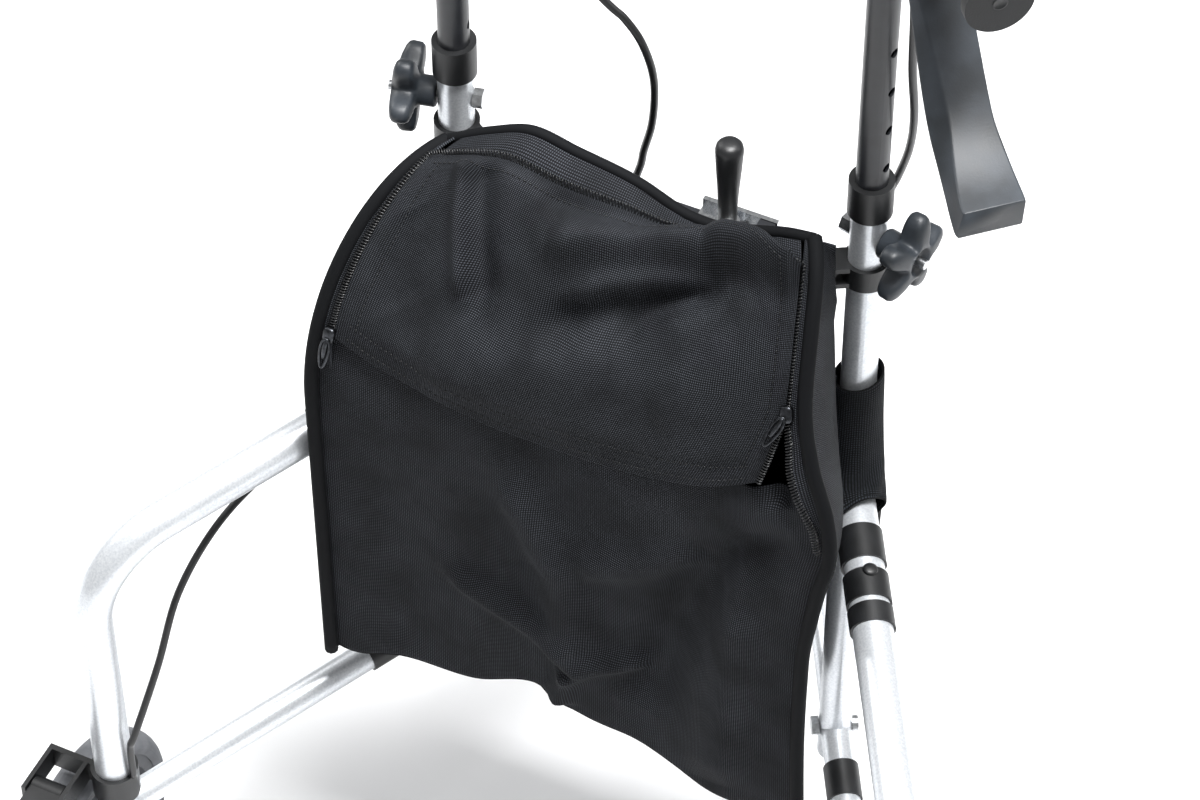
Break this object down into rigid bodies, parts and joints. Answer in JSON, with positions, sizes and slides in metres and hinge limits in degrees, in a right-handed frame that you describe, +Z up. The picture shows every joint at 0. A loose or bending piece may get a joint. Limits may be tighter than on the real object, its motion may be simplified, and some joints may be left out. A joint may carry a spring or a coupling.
{
  "type": "three wheel rollator",
  "caption": "Folding rollator on a steering front caster and braked rear wheels, with height-adjustable handles, brake levers, a latched folding brace and a zipped cloth bag between its sides.",
  "frame": {"origin": "on the floor, under the middle of the open walker's bounding box", "axes": "+Z up, +Y the way it travels, +X to the user's right"},
  "size_m": [0.662, 0.6202, 0.999],
  "materials": {
    "silver_tube": "silver powder coat over aluminium tube",
    "bright_steel": "zinc plated steel",
    "black_tube": "satin black paint",
    "black_plastic": "moulded black plastic",
    "charcoal_plastic": "moulded charcoal plastic",
    "grip_rubber": "soft black rubber",
    "rim_plastic": "moulded grey plastic",
    "tyre_rubber": "grey solid tyre",
    "bag_cloth": "black woven polyester",
    "zip_metal": "dark plated zinc",
    "strap_webbing": "black webbing",
    "cable_sheath": "black cable sheath"
  },
  "bodies": {
    "stem": {"front_stem": "silver_tube", "hinge_pins": "bright_steel", "stem_cap": "black_plastic", "head_bushes": "black_plastic", "bag_body": "bag_cloth", "zip_sliders": "zip_metal"},
    "caster": {"front_fork": "silver_tube", "fork_nut": "bright_steel", "front_axle": "bright_steel"},
    "front_wheel": {"front_rim": "rim_plastic", "front_tyre": "tyre_rubber"},
    "lid": {"bag_lid": "bag_cloth"},
    "latch": {"latch_plate": "bright_steel", "latch_handle": "black_plastic"},
    "left_frame": {"left_upright": "silver_tube", "left_arch_tube": "silver_tube", "left_lower_tube": "silver_tube", "left_hinge_post": "silver_tube", "left_collar": "black_plastic", "left_clamp_bolt": "bright_steel", "left_brace_bracket": "black_plastic", "left_frame_bolts": "bright_steel", "left_cable_bands": "black_plastic", "left_rear_axle": "bright_steel", "left_brake_bracket": "black_plastic", "left_bag_strap": "strap_webbing", "left_cable": "cable_sheath"},
    "left_handle": {"left_handle_tube": "black_tube", "left_grip": "grip_rubber", "left_lever_mount": "black_plastic"},
    "left_lever": {"left_brake_lever": "charcoal_plastic"},
    "left_knob": {"left_knob": "charcoal_plastic"},
    "left_link": {"left_brace_link": "silver_tube"},
    "left_wheel": {"left_rear_rim": "rim_plastic", "left_rear_tyre": "tyre_rubber"},
    "left_brake": {"left_brake_arm": "black_plastic"},
    "right_frame": {"right_upright": "silver_tube", "right_arch_tube": "silver_tube", "right_lower_tube": "silver_tube", "right_hinge_post": "silver_tube", "right_collar": "black_plastic", "right_clamp_bolt": "bright_steel", "right_brace_bracket": "black_plastic", "right_frame_bolts": "bright_steel", "right_cable_bands": "black_plastic", "right_rear_axle": "bright_steel", "right_brake_bracket": "black_plastic", "right_bag_strap": "strap_webbing", "right_cable": "cable_sheath"},
    "right_handle": {"right_handle_tube": "black_tube", "right_grip": "grip_rubber", "right_lever_mount": "black_plastic"},
    "right_lever": {"right_brake_lever": "charcoal_plastic"},
    "right_knob": {"right_knob": "charcoal_plastic"},
    "right_link": {"right_brace_link": "silver_tube"},
    "right_wheel": {"right_rear_rim": "rim_plastic", "right_rear_tyre": "tyre_rubber"},
    "right_brake": {"right_brake_arm": "black_plastic"}
  },
  "joints": [
    {"name": "right_fold", "type": "hinge", "parent": "stem", "child": "right_frame", "pos_m": [0.022, 0.2181, 0.3], "axis": [0, 0, -1], "range_deg": [0, 24], "deforming": ["bag_body", "bag_lid", "zip_sliders"]},
    {"name": "left_fold", "type": "hinge", "parent": "stem", "child": "left_frame", "pos_m": [-0.022, 0.2181, 0.3], "axis": [0, 0, 1], "range_deg": [0, 24]},
    {"name": "caster_swivel", "type": "hinge", "parent": "stem", "child": "caster", "pos_m": [0, 0.2501, 0.2], "axis": [0, 0, 1], "continuous": true},
    {"name": "front_wheel_spin", "type": "hinge", "parent": "caster", "child": "front_wheel", "pos_m": [0, 0.2201, 0.09], "axis": [1, 0, 0], "continuous": true},
    {"name": "lid_open", "type": "hinge", "parent": "stem", "child": "lid", "pos_m": [0, -0.09513, 0.516], "axis": [1, 0, 0], "range_deg": [0, 110]},
    {"name": "latch_lift", "type": "hinge", "parent": "right_link", "child": "latch", "pos_m": [0.072, 0.01212, 0.6446], "axis": [0, 1, 0], "range_deg": [0, 50]},
    {"name": "right_link_swing", "type": "hinge", "parent": "right_frame", "child": "right_link", "pos_m": [0.11321, 0.01212, 0.636], "axis": [0, 0, -1], "range_deg": [0, 55.03]},
    {"name": "right_handle_slide", "type": "slide", "parent": "right_frame", "child": "right_handle", "axis": [0, 0, 1], "range_m": [-0.15, 0.03], "deforming": ["right_cable"]},
    {"name": "right_knob_turn", "type": "hinge", "parent": "right_frame", "child": "right_knob", "pos_m": [0.134, 0.02412, 0.664], "axis": [0.9744, -0.225, 0], "range_deg": [0, 720]},
    {"name": "right_lever_squeeze", "type": "hinge", "parent": "right_handle", "child": "right_lever", "pos_m": [0.15719, -0.00075, 0.954], "axis": [-0.7314, -0.682, 0], "range_deg": [0, 26], "stiffness_Nm_per_rad": 1.2, "springref_deg": -20.05},
    {"name": "right_wheel_spin", "type": "hinge", "parent": "right_frame", "child": "right_wheel", "pos_m": [0.308, -0.2201, 0.09], "axis": [1, 0, 0], "continuous": true},
    {"name": "right_brake_press", "type": "hinge", "parent": "right_frame", "child": "right_brake", "pos_m": [0.308, -0.2501, 0.196], "axis": [1, 0, 0], "range_deg": [0, 3]},
    {"name": "left_link_swing", "type": "hinge", "parent": "left_frame", "child": "left_link", "pos_m": [-0.11321, 0.01212, 0.636], "axis": [0, 0, 1], "range_deg": [0, 55.03]},
    {"name": "left_handle_slide", "type": "slide", "parent": "left_frame", "child": "left_handle", "axis": [0, 0, 1], "range_m": [-0.15, 0.03], "deforming": ["left_cable"]},
    {"name": "left_knob_turn", "type": "hinge", "parent": "left_frame", "child": "left_knob", "pos_m": [-0.134, 0.02412, 0.664], "axis": [-0.9744, -0.225, 0], "range_deg": [0, 720]},
    {"name": "left_lever_squeeze", "type": "hinge", "parent": "left_handle", "child": "left_lever", "pos_m": [-0.15719, -0.00075, 0.954], "axis": [-0.7314, 0.682, 0], "range_deg": [0, 26], "stiffness_Nm_per_rad": 1.2, "springref_deg": -20.05},
    {"name": "left_wheel_spin", "type": "hinge", "parent": "left_frame", "child": "left_wheel", "pos_m": [-0.308, -0.2201, 0.09], "axis": [1, 0, 0], "continuous": true},
    {"name": "left_brake_press", "type": "hinge", "parent": "left_frame", "child": "left_brake", "pos_m": [-0.308, -0.2501, 0.196], "axis": [1, 0, 0], "range_deg": [0, 3]}
  ],
  "couplings": [
    {"joint": "left_fold", "follows": "right_fold", "ratio": 1},
    {"joint": "right_link_swing", "follows": "right_fold", "ratio": 2.2928},
    {"joint": "right_brake_press", "follows": "right_lever_squeeze", "ratio": 0.1153},
    {"joint": "left_link_swing", "follows": "right_fold", "ratio": 2.2928},
    {"joint": "left_brake_press", "follows": "left_lever_squeeze", "ratio": 0.1153}
  ]
}
